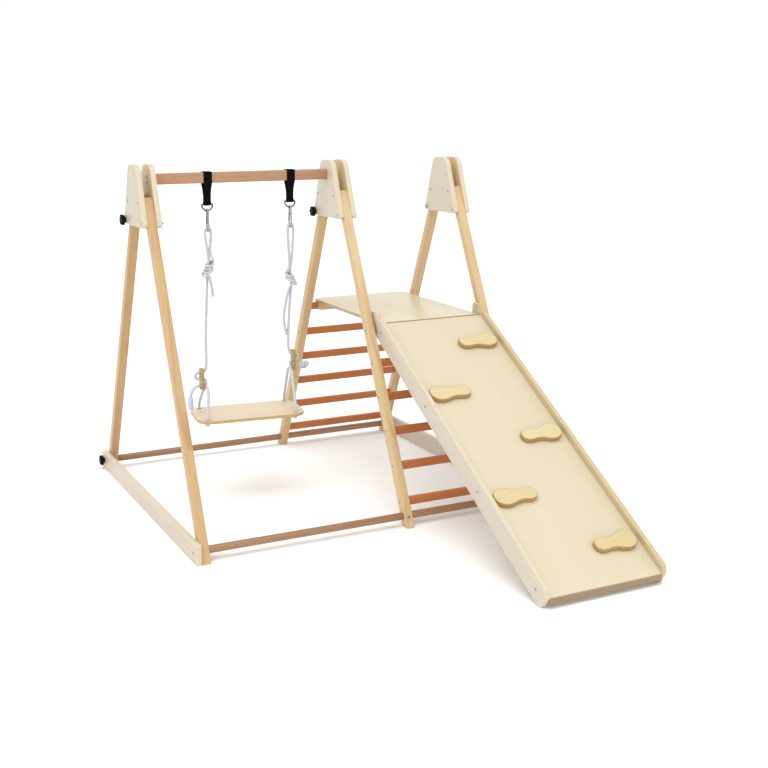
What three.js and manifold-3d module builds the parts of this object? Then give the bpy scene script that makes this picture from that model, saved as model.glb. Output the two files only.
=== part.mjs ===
// Wooden indoor climbing set for a toddler: a swing bay, two ladders with a platform between them,
// and a slide ramp with climbing holds that hooks over the top rung.
// Millimetres. X runs along the top bar, -Y is the slide side, +Z is up, the floor is Z = 0.
import * as THREE from "three";
import { mergeVertices } from "three/addons/utils/BufferGeometryUtils.js";
import Module from "manifold-3d";

// ---- driving dimensions -----------------------------------------------------------------------
const GAP = 0.3;

// A-frames, each in a plane of constant X
const FRAME_X = { left: 0, middle: 706, right: 1172 };
const LEG_T = 30;
const LEG_DEPTH = 37;
const FOOT_Y = 622;
const LEAN = 0.49;
const LEG_TOP = 1103;
const EDGE = 2.5;

// birch plywood gussets that clamp each pair of legs
const GUSSET_T = 18;
const GUSSET_LOW = 1003;
const GUSSET_HIGH = 1212;
const GUSSET_HALF_LOW = 128;
const GUSSET_HALF_HIGH = 50;
const LOCK_Z = 1016;

// base planks outside the end frames, top bar, floor rods
const PLANK_T = 18;
const PLANK_H = 66;
const BAR_Z = 1160;
const BAR_H = 38;
const BAR_T = 30;
const ROD_R = 12.5;
const ROD_Z = 35;

// ladder rungs
const RUNG_COUNT = 6;
const RUNG_Z = 78.7;
const RUNG_STEP = 109.56;
const RUNG_H = 28;
const RUNG_D = 20;
const RUNG_ROUND = 5;

// platform
const DECK_T = 12;
const DECK_SIDE_GAP = 22.5;
const DECK_FRONT = -322;
const DECK_BACK = 322;
const DECK_CORNER = 32;
const BATTEN_D = 24;
const BATTEN_H = 28;

// ramp
const RAMP_SLOPE = 0.556;
const RAMP_TOP_Y = -326;
const RAMP_END_Y = -1436;
const PANEL_T = 18;
const RAIL_T = 15;
const RAIL_GAP = 6;
const RAIL_H = 86;
const RAIL_RISE = 26;
const EAR_BACK = -266;
const EAR_FRONT = -315;
const EAR_TOP = 689;
const SHELF_Z = 664;
const JAW_LOW = 600;

// climbing holds on the ramp
const HOLD_L = 150;
const HOLD_W = 71;
const HOLD_T = 17;
const HOLD_FIRST = 158;
const HOLD_STEP = 243;
const HOLD_SIDE = 112;
const HOLD_SHIFT = -4;
const HOLD_COUNT = 5;
// outline of the left-hand hold in shares of its half length and half width, from its left end upwards
const HOLD_OUTLINE = [
  [-1, -0.05], [-0.93, 0.5], [-0.77, 0.85], [-0.55, 1], [-0.3, 0.9], [-0.03, 0.67], [0.25, 0.57],
  [0.52, 0.65], [0.77, 0.63], [0.95, 0.4], [1, 0], [0.95, -0.45], [0.78, -0.73], [0.55, -0.76],
  [0.27, -0.68], [0.03, -0.73], [-0.2, -0.9], [-0.44, -1], [-0.71, -0.9], [-0.91, -0.56],
];

// swing; its seat hangs a little to the left of and before the bar's middle, and slightly turned
const SWING_X = 379;
const STRAP_OFFSET = 153;
const STRAP_W = 30;
const WEB_T = 2.2;
const PIVOT_Z = 1068;
const RING_WIRE = 6;
const HOOK_TOP = 1053;
const HOOK_LOW = 970;
const HOOK_WIRE = 7;
const GATE_HALF = 18;
const ROPE_R = 5;
const ROPE_STEPS = 78;
const SEAT_TOP = 317;
const SEAT_T = 12;
const SEAT_L = 386;
const SEAT_W = 228;
const SEAT_CORNER = 66;
const SEAT_HOLE_X = 157;
const SEAT_HOLE_Y = 93;
const SEAT_HOLE_R = 7.5;
const SEAT_X = 350;
const SEAT_Y = -10;
const SEAT_TURN = THREE.MathUtils.degToRad(-7);
const TOGGLE_H = 78;
const TOGGLE_W = 26;
const TOGGLE_T = 13;
const TOGGLE_HOLE_R = 8.5;
const TOGGLE_HOLE_STEP = 24;

// star knobs
const KNOB_R = 20;
const KNOB_LOBES = 6;
const KNOB_HEAD = 14;
const KNOB_COLLAR_R = 10;
const KNOB_COLLAR = 4;

// values that follow from the ones above
const GUSSET_IN = LEG_T / 2 + GAP;
const GUSSET_OUT = GUSSET_IN + GUSSET_T;
const LEG_MID = LEG_DEPTH / 2;
const BAY_LEFT = FRAME_X.middle + LEG_T / 2;
const BAY_RIGHT = FRAME_X.right - LEG_T / 2;
const DECK_LEFT = BAY_LEFT + DECK_SIDE_GAP;
const DECK_RIGHT = BAY_RIGHT - DECK_SIDE_GAP;
const TOP_RUNG_Z = RUNG_Z + RUNG_STEP * (RUNG_COUNT - 1);
const TOP_RUNG_TOP = TOP_RUNG_Z + RUNG_H / 2;
const DECK_LOW = TOP_RUNG_TOP + GAP;
const DECK_HIGH = DECK_LOW + DECK_T;
const legY = (z) => FOOT_Y - LEAN * z;
const legMidY = (z) => legY(z) - LEG_MID;
const panelZ = (y) => DECK_HIGH + RAMP_SLOPE * (y - RAMP_TOP_Y);
const railTopZ = (y) => panelZ(y) + RAIL_RISE;
const railLowZ = (y) => railTopZ(y) - RAIL_H;

// ---- materials --------------------------------------------------------------------------------
const finish = (color, roughness, metalness = 0) =>
  new THREE.MeshStandardMaterial({ color, roughness, metalness });
const PINE = finish(0xe6c590, 0.6);
const BEECH = finish(0xb9784f, 0.5);
const PLY = finish(0xe9dcc0, 0.55);
const PANEL = finish(0xefe1c2, 0.45);
const HOLD = finish(0xead29a, 0.45);
const SEAT = finish(0xe8cf9f, 0.45);
const BLACK_PLASTIC = finish(0x141414, 0.45);
const WEBBING = finish(0x17181a, 0.9);
const DARK_STEEL = finish(0x4a4c50, 0.35, 0.9);
const ZINC = finish(0xa9adb0, 0.3, 0.9);
const ROPE = finish(0xe4e5e6, 0.85);

// ---- helpers ----------------------------------------------------------------------------------
const wasm = await Module();
wasm.setup();

function toSolid(geometry) {
  const bare = geometry.clone();
  bare.deleteAttribute("normal");
  bare.deleteAttribute("uv");
  const welded = mergeVertices(bare, 1e-4);
  return new wasm.Manifold(new wasm.Mesh({
    numProp: 3,
    vertProperties: new Float32Array(welded.attributes.position.array),
    triVerts: new Uint32Array(welded.index.array),
  }));
}

function toGeometry(solid) {
  const mesh = solid.getMesh();
  const geometry = new THREE.BufferGeometry();
  geometry.setAttribute("position", new THREE.BufferAttribute(new Float32Array(mesh.vertProperties), 3));
  geometry.setIndex(new THREE.BufferAttribute(new Uint32Array(mesh.triVerts), 1));
  geometry.computeVertexNormals();
  return geometry;
}

const fuse = (...parts) => toGeometry(parts.map(toSolid).reduce((a, b) => a.add(b)));

function piece(group, name, geometry, material) {
  const mesh = new THREE.Mesh(geometry, material);
  mesh.name = name;
  group.add(mesh);
  return mesh;
}

// Closed outline from corners [a, b, radius], each corner eased by its radius.
function outline(corners) {
  const shape = new THREE.Shape();
  corners.forEach(([a, b, r = 0], i) => {
    const here = new THREE.Vector2(a, b);
    const before = new THREE.Vector2(...corners.at(i - 1).slice(0, 2));
    const after = new THREE.Vector2(...corners[(i + 1) % corners.length].slice(0, 2));
    const start = here.clone().addScaledVector(before.sub(here).normalize(), r);
    const end = here.clone().addScaledVector(after.sub(here).normalize(), r);
    if (i === 0) shape.moveTo(start.x, start.y);
    else shape.lineTo(start.x, start.y);
    if (r > 0) shape.quadraticCurveTo(a, b, end.x, end.y);
  });
  shape.closePath();
  return shape;
}

const rounded = (a0, b0, a1, b1, r) => outline([[a0, b0, r], [a1, b0, r], [a1, b1, r], [a0, b1, r]]);

// Slab of a flat outline with eased edges, its thickness running from 0 along +Z.
function slab(shape, thickness, edge = EDGE, curveSegments = 4) {
  const geometry = new THREE.ExtrudeGeometry(shape, {
    depth: thickness - 2 * edge,
    bevelEnabled: edge > 0,
    bevelThickness: edge,
    bevelSize: edge,
    bevelOffset: -edge,
    bevelSegments: 1,
    curveSegments,
  });
  return geometry.translate(0, 0, edge);
}

// A slab whose outline lies in the Y-Z plane and whose thickness runs along X from x0 to x1.
function board(shape, x0, x1, edge = EDGE, curveSegments = 4) {
  const [x, y, z] = [new THREE.Vector3(1, 0, 0), new THREE.Vector3(0, 1, 0), new THREE.Vector3(0, 0, 1)];
  return slab(shape, x1 - x0, edge, curveSegments)
    .applyMatrix4(new THREE.Matrix4().makeBasis(y, z, x))
    .translate(x0, 0, 0);
}

const rodX = (r, x0, x1, y, z, sides = 24) =>
  new THREE.CylinderGeometry(r, r, x1 - x0, sides).rotateZ(Math.PI / 2).translate((x0 + x1) / 2, y, z);

// Rope: an eight-sided section carried along a smooth curve through the points.
function rope(points, steps) {
  const section = new THREE.Shape();
  section.absarc(0, 0, ROPE_R, 0, 2 * Math.PI);
  const path = new THREE.CatmullRomCurve3(points.map((p) => new THREE.Vector3(...p)), false, "centripetal");
  return new THREE.ExtrudeGeometry(section, { steps, extrudePath: path, curveSegments: 4 });
}

// ---- A-frames ---------------------------------------------------------------------------------
const legOutline = (side) => {
  const corner = (y, z) => [side * y, z];
  const ring = [
    corner(legY(0), 0),
    corner(legY(LEG_TOP), LEG_TOP),
    corner(legY(LEG_TOP) - LEG_DEPTH, LEG_TOP),
    corner(legY(0) - LEG_DEPTH, 0),
  ];
  return outline(side > 0 ? ring : ring.reverse());
};

const gussetOutline = outline([
  [-GUSSET_HALF_LOW, GUSSET_LOW, 20],
  [GUSSET_HALF_LOW, GUSSET_LOW, 20],
  [GUSSET_HALF_HIGH, GUSSET_HIGH, 30],
  [-GUSSET_HALF_HIGH, GUSSET_HIGH, 30],
]);

function aFrame(name, gussetNames) {
  const frame = new THREE.Group();
  frame.position.x = FRAME_X[name];
  piece(frame, `leg_${name}_front`, board(legOutline(-1), -LEG_T / 2, LEG_T / 2), PINE);
  piece(frame, `leg_${name}_rear`, board(legOutline(1), -LEG_T / 2, LEG_T / 2), PINE);
  piece(frame, `gusset_${name}_${gussetNames[0]}`, board(gussetOutline, -GUSSET_OUT, -GUSSET_IN, 1.5), PLY);
  piece(frame, `gusset_${name}_${gussetNames[1]}`, board(gussetOutline, GUSSET_IN, GUSSET_OUT, 1.5), PLY);
  return frame;
}

function basePlank(name, side) {
  const shape = outline([[-FOOT_Y, 0, 2], [FOOT_Y, 0, 2], [FOOT_Y, PLANK_H, 8], [-FOOT_Y, PLANK_H, 8]]);
  const inner = FRAME_X[name] + side * GUSSET_IN;
  const outer = inner + side * PLANK_T;
  return board(shape, Math.min(inner, outer), Math.max(inner, outer), 1.5);
}

// ---- bars, rods and rungs ---------------------------------------------------------------------
function topBar() {
  const shape = rounded(-BAR_T / 2, BAR_Z - BAR_H / 2, BAR_T / 2, BAR_Z + BAR_H / 2, 4);
  const reach = GUSSET_OUT + GAP;
  return board(shape, FRAME_X.left + reach, FRAME_X.middle - reach, 0, 2);
}

function floorRod(from, to, side) {
  const reach = LEG_T / 2 + GAP;
  return rodX(ROD_R, FRAME_X[from] + reach, FRAME_X[to] - reach, side * legMidY(ROD_Z), ROD_Z);
}

function rung(index, side) {
  const z = RUNG_Z + RUNG_STEP * index;
  const y = side * legMidY(z);
  const shape = rounded(y - RUNG_D / 2, z - RUNG_H / 2, y + RUNG_D / 2, z + RUNG_H / 2, RUNG_ROUND);
  return board(shape, BAY_LEFT + GAP, BAY_RIGHT - GAP, 0, 2);
}

// ---- platform ---------------------------------------------------------------------------------
function deck() {
  const shape = outline([
    [DECK_LEFT, DECK_FRONT, 2],
    [DECK_RIGHT, DECK_FRONT, 2],
    [DECK_RIGHT, DECK_BACK, DECK_CORNER],
    [DECK_LEFT, DECK_BACK, DECK_CORNER],
  ]);
  return slab(shape, DECK_T, 1.5, 6).translate(0, 0, DECK_LOW);
}

// The battens hang under the deck, just inside the two top rungs, and stop it from sliding off them.
function deckBatten(side) {
  const outer = legMidY(TOP_RUNG_Z) - RUNG_D / 2 - 2;
  const [y0, y1] = side > 0 ? [outer - BATTEN_D, outer] : [-outer, BATTEN_D - outer];
  const top = DECK_LOW - GAP;
  return board(rounded(y0, top - BATTEN_H, y1, top, 2), DECK_LEFT + 4, DECK_RIGHT - 4, 1.5, 2);
}

// ---- ramp -------------------------------------------------------------------------------------
// Side rail: a long board with a hook head that drops over the top front rung.
function rail(x0) {
  const rungY = -legMidY(TOP_RUNG_Z);
  const notchFront = rungY - RUNG_D / 2 - 1.5;
  const notchBack = rungY + RUNG_D / 2 + 1.5;
  const notchTop = TOP_RUNG_TOP + GAP;
  const floorY = RAMP_TOP_Y - (panelZ(RAMP_TOP_Y) + RAIL_RISE - RAIL_H) / RAMP_SLOPE;
  const shelfEnd = RAMP_TOP_Y - (railTopZ(RAMP_TOP_Y) - SHELF_Z) / RAMP_SLOPE;
  const shape = outline([
    [EAR_BACK, JAW_LOW, 6],
    [EAR_BACK, EAR_TOP, 14],
    [EAR_FRONT, EAR_TOP, 4],
    [EAR_FRONT, SHELF_Z, 0],
    [shelfEnd, SHELF_Z, 8],
    [RAMP_END_Y - 2, railTopZ(RAMP_END_Y - 2), 7],
    [RAMP_END_Y - 2, 34, 4],
    [floorY - 20, 0, 4],
    [floorY, 0, 2],
    [-334, railLowZ(-334), 10],
    [notchFront, JAW_LOW + 3, 3],
    [notchFront, notchTop, 2],
    [notchBack, notchTop, 2],
    [notchBack, JAW_LOW, 5],
  ].reverse());
  return board(shape, x0, x0 + RAIL_T, 2, 3);
}

function rampPanel() {
  const drop = PANEL_T * Math.hypot(1, RAMP_SLOPE);
  const shape = outline([
    [RAMP_TOP_Y, panelZ(RAMP_TOP_Y), 1],
    [RAMP_END_Y, panelZ(RAMP_END_Y), 5],
    [RAMP_END_Y, panelZ(RAMP_END_Y) - drop, 1],
    [RAMP_TOP_Y, panelZ(RAMP_TOP_Y) - drop, 1],
  ]);
  const inset = RAIL_GAP + RAIL_T + GAP;
  return board(shape, BAY_LEFT + inset, BAY_RIGHT - inset, 0, 2);
}

// Bone-shaped hold with its large lobe towards the rail at that side of the ramp.
function holdGeometry(side) {
  const points = HOLD_OUTLINE.map(([a, b]) => new THREE.Vector2((-side * a * HOLD_L) / 2, (b * HOLD_W) / 2));
  if (side > 0) points.reverse();
  const [first, ...rest] = points;
  const shape = new THREE.Shape();
  shape.moveTo(first.x, first.y);
  shape.splineThru([...rest, first]);
  return slab(shape, HOLD_T, 2.5, 3);
}

function hold(index) {
  const side = index % 2 === 0 ? 1 : -1;
  const along = HOLD_FIRST + HOLD_STEP * index;
  return holdGeometry(side)
    .translate(side * HOLD_SIDE, -along, GAP)
    .rotateX(Math.atan(RAMP_SLOPE))
    .translate((BAY_LEFT + BAY_RIGHT) / 2 + HOLD_SHIFT, RAMP_TOP_Y, panelZ(RAMP_TOP_Y));
}

// ---- knobs ------------------------------------------------------------------------------------
// Star knob with a round collar; it stands off the face at x, towards side.
function starKnob(x, y, z, side) {
  const points = [];
  const samples = KNOB_LOBES * 8;
  for (let i = 0; i < samples; i += 1) {
    const turn = (2 * Math.PI * i) / samples;
    const r = KNOB_R * (0.86 + 0.14 * Math.cos(KNOB_LOBES * turn));
    points.push(new THREE.Vector2(r * Math.cos(turn), r * Math.sin(turn)));
  }
  const head = board(new THREE.Shape(points), KNOB_COLLAR, KNOB_COLLAR + KNOB_HEAD, 2.5);
  const collar = rodX(KNOB_COLLAR_R, 0, KNOB_COLLAR + 1, 0, 0, 24);
  const knob = fuse(head, collar);
  if (side < 0) knob.rotateZ(Math.PI);
  return knob.translate(x + side * GAP, y, z);
}

// ---- swing ------------------------------------------------------------------------------------
// Webbing loop over the top bar, stitched below it, with an eye for the ring's straight side.
function strap() {
  const [inner, top, low] = [BAR_T / 2 + GAP, BAR_Z + BAR_H / 2 + GAP, BAR_Z - BAR_H / 2 - GAP];
  const eye = RING_WIRE / 2 + 1;
  const foot = eye + WEB_T;
  const outer = outline([
    [-inner - WEB_T, low, 4], [-foot, PIVOT_Z + 22, 6], [-foot, PIVOT_Z - foot, 4],
    [foot, PIVOT_Z - foot, 4], [foot, PIVOT_Z + 22, 6], [inner + WEB_T, low, 4],
    [inner + WEB_T, top + WEB_T, 5], [-inner - WEB_T, top + WEB_T, 5],
  ]);
  const bar = outline([
    [-inner, low, 2], [-0.8, PIVOT_Z + 34, 1], [0.8, PIVOT_Z + 34, 1], [inner, low, 2],
    [inner, top, 3], [-inner, top, 3],
  ]);
  const ring = new THREE.Path();
  ring.absarc(0, PIVOT_Z, eye, 0, 2 * Math.PI);
  outer.holes.push(new THREE.Path(bar.getPoints(3)), ring);
  return board(outer, -STRAP_W / 2, STRAP_W / 2, 0, 4);
}

// Rounded triangular ring: the straight side lies in the strap's eye, the point hangs down.
function ringLink() {
  const low = PIVOT_Z - 28;
  const [r, half] = [RING_WIRE / 2, 22.5];
  const outer = outline([[-half, PIVOT_Z + r, 7], [-half + 1, PIVOT_Z - 14, 9], [0, low - 4, 10],
    [half - 1, PIVOT_Z - 14, 9], [half, PIVOT_Z + r, 7]]);
  const w = RING_WIRE;
  const inner = outline([[-half + w, PIVOT_Z - r, 2], [-half + w, PIVOT_Z - 12, 6], [0, low + 2, 7],
    [half - w, PIVOT_Z - 12, 6], [half - w, PIVOT_Z - r, 2]]);
  outer.holes.push(new THREE.Path(inner.getPoints(4)));
  return slab(outer, RING_WIRE, 1.4, 4).translate(0, 0, -r).rotateX(Math.PI / 2);
}

// Snap hook, flat in the Y-Z plane: a pear-shaped wire with an opening that the gate closes.
function snapHook() {
  const w = HOOK_WIRE;
  const mid = (HOOK_TOP + HOOK_LOW) / 2;
  const shape = outline([
    [11, mid + GATE_HALF], [11, HOOK_TOP - 8, 5], [5, HOOK_TOP, 4], [-5, HOOK_TOP, 4], [-11, HOOK_TOP - 8, 5],
    [-15, HOOK_LOW + 12, 6], [-9, HOOK_LOW, 6], [9, HOOK_LOW, 6], [15, HOOK_LOW + 12, 4], [15, mid - GATE_HALF],
    [15 - w, mid - GATE_HALF], [15 - w, HOOK_LOW + 13, 3], [5, HOOK_LOW + w, 4], [-5, HOOK_LOW + w, 4],
    [w - 15, HOOK_LOW + 13, 3], [w - 11, HOOK_TOP - 9, 1], [-3, HOOK_TOP - w, 1], [3, HOOK_TOP - w, 1],
    [11 - w, HOOK_TOP - 9, 1], [11 - w, mid + GATE_HALF],
  ].reverse());
  return board(shape, -w / 2, w / 2, 0.6, 3);
}

function hookGate() {
  const mid = (HOOK_TOP + HOOK_LOW) / 2;
  const reach = GATE_HALF - GAP;
  const shape = outline([[5.4, mid + reach], [9.4, mid - reach], [14.6, mid - reach], [10.6, mid + reach]]);
  return board(shape, -HOOK_WIRE / 2, HOOK_WIRE / 2, 0.6, 2);
}

// Wooden toggle with three holes in a row: the rope goes out through the upper one, back in through the
// middle one and, after its loop under the seat, out again through the lower one.
function toggle(x, z) {
  const shape = rounded(-TOGGLE_W / 2, z - TOGGLE_H / 2, TOGGLE_W / 2, z + TOGGLE_H / 2, 5);
  for (const row of [-1, 0, 1]) {
    const hole = new THREE.Path();
    hole.absarc(0, z + row * TOGGLE_HOLE_STEP, TOGGLE_HOLE_R, 0, 2 * Math.PI);
    shape.holes.push(hole);
  }
  return board(shape, x - TOGGLE_T / 2, x + TOGGLE_T / 2, 1.5, 4);
}

function seat() {
  const [l, w] = [SEAT_L / 2, SEAT_W / 2];
  const shape = rounded(-l, -w, l, w, SEAT_CORNER);
  for (const sx of [-1, 1]) {
    for (const sy of [-1, 1]) {
      const hole = new THREE.Path();
      hole.absarc(sx * SEAT_HOLE_X, sy * SEAT_HOLE_Y, SEAT_HOLE_R, 0, 2 * Math.PI);
      shape.holes.push(hole);
    }
  }
  return slab(shape, SEAT_T, 2, 6).rotateZ(SEAT_TURN).translate(SEAT_X, SEAT_Y, SEAT_TOP - SEAT_T);
}

// Place of one hole of the hung seat as [x, y]: sx is -1 for left and 1 for right, sy -1 for front.
function seatHole(sx, sy) {
  const [a, b] = [sx * SEAT_HOLE_X, sy * SEAT_HOLE_Y];
  const [c, s] = [Math.cos(SEAT_TURN), Math.sin(SEAT_TURN)];
  return [SEAT_X + a * c - b * s, SEAT_Y + a * s + b * c];
}

// Route of one rope, as [distance outward from the swing's middle, y, z]. It runs from its free tail,
// up and over the snap hook, down to the toggle, through the seat's two holes and back to the toggle.
function ropeRoute({ side, tail, upper, toggleOut, toggleZ, end }) {
  const hook = STRAP_OFFSET;
  const over = HOOK_LOW + HOOK_WIRE + ROPE_R + 7;
  const inner = toggleOut - TOGGLE_T / 2;
  const outer = toggleOut + TOGGLE_T / 2;
  const high = toggleZ + TOGGLE_HOLE_STEP;
  const low = toggleZ - TOGGLE_HOLE_STEP;
  const under = SEAT_TOP - SEAT_T - ROPE_R - 4;
  const [[frontX, fy], [rearX, ry]] = [seatHole(side, -1), seatHole(side, 1)];
  const [fx, rx] = [side * (frontX - SWING_X), side * (rearX - SWING_X)];
  const mix = (a, b, t) => a + (b - a) * t;
  return [
    ...tail,
    [hook - 10.5, 0, over - 22], [hook - 9, 0, over - 6.5], [hook, 0, over],
    [hook + 9, 0, over - 6.5], [hook + 10.5, 0, over - 22],
    ...upper,
    [inner - 9, 0, high + 13], [inner, 0, high], [outer, 0, high],
    [outer + 13, 0, high - 3], [outer + 17, 0, toggleZ + 12], [outer + 13, 0, toggleZ + 3],
    [outer, 0, toggleZ], [inner, 0, toggleZ], [inner - 11, -8, toggleZ - 9],
    [mix(inner - 12, fx, 0.2), mix(0, fy, 0.33), low - 14], [fx, fy + 3, SEAT_TOP + 18],
    [fx, fy, SEAT_TOP + 4], [fx, fy, under + 8], [mix(fx, rx, 0.03), fy + 6, under + 1],
    [mix(fx, rx, 0.97), ry - 6, under + 1], [rx, ry, under + 8], [rx, ry, SEAT_TOP + 4], [rx, ry - 3, SEAT_TOP + 18],
    [mix(inner - 8, rx, 0.2), mix(0, ry, 0.36), low - 28],
    [inner - 10, 9, low - 9], [inner, 0, low], [outer, 0, low],
    ...end,
  ];
}

const ROPES = {
  left: {
    side: -1,
    toggleOut: 191,
    toggleZ: 448,
    tail: [[141, 0, 743], [144, 0, 775], [146.5, 0, 808], [146.5, 0, 875]],
    upper: [[159.5, 0, 875], [160, 0, 808], [172, 0, 600]],
    end: [[213, 0, 421], [227, 0, 408], [233, 0, 380], [233, 0, 345]],
  },
  right: {
    side: 1,
    toggleOut: 154,
    toggleZ: 484,
    tail: [[129, 0, 582], [121, 0, 640], [130, 0, 700], [143, 0, 760], [146.5, 0, 875]],
    upper: [[159.5, 0, 875], [155, 0, 760], [142, 0, 660]],
    end: [[176, 0, 460], [190, 0, 461], [206, 0, 462]],
  },
};

function swingSide(group, name) {
  const { side, toggleOut, toggleZ } = ROPES[name];
  const x = SWING_X + side * STRAP_OFFSET;
  piece(group, `strap_${name}`, strap(), WEBBING).position.x = x;
  piece(group, `ring_${name}`, ringLink(), DARK_STEEL).position.x = x;
  piece(group, `snap_hook_${name}`, snapHook(), ZINC).position.x = x;
  piece(group, `hook_gate_${name}`, hookGate(), ZINC).position.x = x;
  piece(group, `toggle_${name}`, toggle(SWING_X + side * toggleOut, toggleZ), SEAT);
  const route = ropeRoute(ROPES[name]).map(([out, y, z]) => [SWING_X + side * out, y, z]);
  piece(group, `rope_${name}`, rope(route, ROPE_STEPS), ROPE);
}

// ---- assembly ---------------------------------------------------------------------------------
function frames(group) {
  group.add(aFrame("left", ["outer", "inner"]));
  group.add(aFrame("middle", ["swing_side", "ladder_side"]));
  group.add(aFrame("right", ["inner", "outer"]));
  piece(group, "base_plank_left", basePlank("left", -1), PLY);
  piece(group, "base_plank_right", basePlank("right", 1), PLY);
  piece(group, "top_bar", topBar(), BEECH);
  for (const [end, side] of [["front", -1], ["rear", 1]]) {
    piece(group, `floor_rod_swing_${end}`, floorRod("left", "middle", side), BEECH);
    piece(group, `floor_rod_ladder_${end}`, floorRod("middle", "right", side), BEECH);
    for (let i = 0; i < RUNG_COUNT; i += 1) piece(group, `rung_${end}_${i + 1}`, rung(i, side), BEECH);
  }
}

function platform(group) {
  piece(group, "platform_board", deck(), PLY);
  piece(group, "platform_batten_front", deckBatten(-1), PLY);
  piece(group, "platform_batten_rear", deckBatten(1), PLY);
}

function ramp(group) {
  piece(group, "ramp_panel", rampPanel(), PANEL);
  piece(group, "ramp_rail_left", rail(BAY_LEFT + RAIL_GAP), PLY);
  piece(group, "ramp_rail_right", rail(BAY_RIGHT - RAIL_GAP - RAIL_T), PLY);
  for (let i = 0; i < HOLD_COUNT; i += 1) piece(group, `hold_${i + 1}`, hold(i), HOLD);
}

function knobs(group) {
  const lockY = legMidY(LOCK_Z);
  const footY = legMidY(ROD_Z);
  const outerLeft = FRAME_X.left - GUSSET_OUT;
  const outerRight = FRAME_X.right + GUSSET_OUT;
  piece(group, "knob_top_left", starKnob(outerLeft, lockY, LOCK_Z, -1), BLACK_PLASTIC);
  piece(group, "knob_top_middle", starKnob(FRAME_X.middle - GUSSET_OUT, lockY, LOCK_Z, -1), BLACK_PLASTIC);
  piece(group, "knob_top_right", starKnob(outerRight, lockY, LOCK_Z, 1), BLACK_PLASTIC);
  piece(group, "knob_foot_left", starKnob(outerLeft, footY, ROD_Z, -1), BLACK_PLASTIC);
  piece(group, "knob_foot_right", starKnob(outerRight, footY, ROD_Z, 1), BLACK_PLASTIC);
}

function climbingSet() {
  const set = new THREE.Group();
  frames(set);
  platform(set);
  ramp(set);
  knobs(set);
  piece(set, "seat", seat(), SEAT);
  swingSide(set, "left");
  swingSide(set, "right");
  // the origin is on the floor below the middle of the whole set
  const length = RAMP_END_Y - 2;
  const back = Math.max(FOOT_Y, legMidY(ROD_Z) + KNOB_R);
  set.position.set(-FRAME_X.right / 2, -(length + back) / 2, 0);
  return set;
}

export default climbingSet();
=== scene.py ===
"""Looks of the wooden climbing set with its swing and slide ramp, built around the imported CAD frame.

Lengths are millimetres in the plan's own axes: x = 0 at the left frame's middle plane, y = 0 at the top
bar's middle plane and z = 0 on the floor. at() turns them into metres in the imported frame's axes.
"""
import math
import random

import bmesh
import bpy
from mathutils import Euler, Matrix, Vector


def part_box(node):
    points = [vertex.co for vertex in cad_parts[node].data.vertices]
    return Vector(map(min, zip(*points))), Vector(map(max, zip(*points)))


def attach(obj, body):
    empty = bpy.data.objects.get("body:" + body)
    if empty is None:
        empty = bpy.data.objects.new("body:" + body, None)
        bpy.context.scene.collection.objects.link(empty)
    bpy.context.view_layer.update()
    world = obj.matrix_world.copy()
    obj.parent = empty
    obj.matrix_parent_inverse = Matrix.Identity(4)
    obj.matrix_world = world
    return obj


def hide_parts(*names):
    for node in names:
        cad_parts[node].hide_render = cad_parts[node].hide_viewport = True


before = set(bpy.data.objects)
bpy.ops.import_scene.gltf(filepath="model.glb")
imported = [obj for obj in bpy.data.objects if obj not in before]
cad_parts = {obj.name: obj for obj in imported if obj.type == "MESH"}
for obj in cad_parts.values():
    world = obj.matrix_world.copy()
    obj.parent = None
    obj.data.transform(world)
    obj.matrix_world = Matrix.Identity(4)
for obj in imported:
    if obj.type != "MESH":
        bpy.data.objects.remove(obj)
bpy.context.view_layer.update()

MM = 0.001
LEG_BOX, BAR_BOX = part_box("leg_left_front"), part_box("top_bar")
ORIGIN = Vector(((LEG_BOX[0].x + LEG_BOX[1].x) / 2, (BAR_BOX[0].y + BAR_BOX[1].y) / 2, 0))
draw = random.Random(7)


def at(x, y, z):
    """A point of the plan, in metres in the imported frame's axes."""
    return ORIGIN + Vector((x, y, z)) * MM


def link(thing):
    bpy.context.scene.collection.objects.link(thing)


# ---- camera ----
CAMERA_PLACE = (-1.70857, -3.95492, 1.43712)
CAMERA_TURN = (81.81, 0, -28.71)
LENS, SENSOR_WIDTH = 60.17, 36
SHIFT = (-0.1102, -0.1330)


def make_camera():
    data = bpy.data.cameras.new("camera")
    data.lens = LENS
    data.sensor_width = SENSOR_WIDTH
    data.shift_x, data.shift_y = SHIFT
    camera = bpy.data.objects.new("camera", data)
    camera.location = CAMERA_PLACE
    camera.rotation_euler = Euler([math.radians(a) for a in CAMERA_TURN])
    link(camera)
    bpy.context.scene.camera = camera


make_camera()


# ---- node materials ----
def srgb(code):
    """Linear colour from a six-digit sRGB code."""
    parts = [int(code[i:i + 2], 16) / 255 for i in (0, 2, 4)]
    return tuple(c / 12.92 if c <= 0.04045 else ((c + 0.055) / 1.055) ** 2.4 for c in parts) + (1,)


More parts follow.
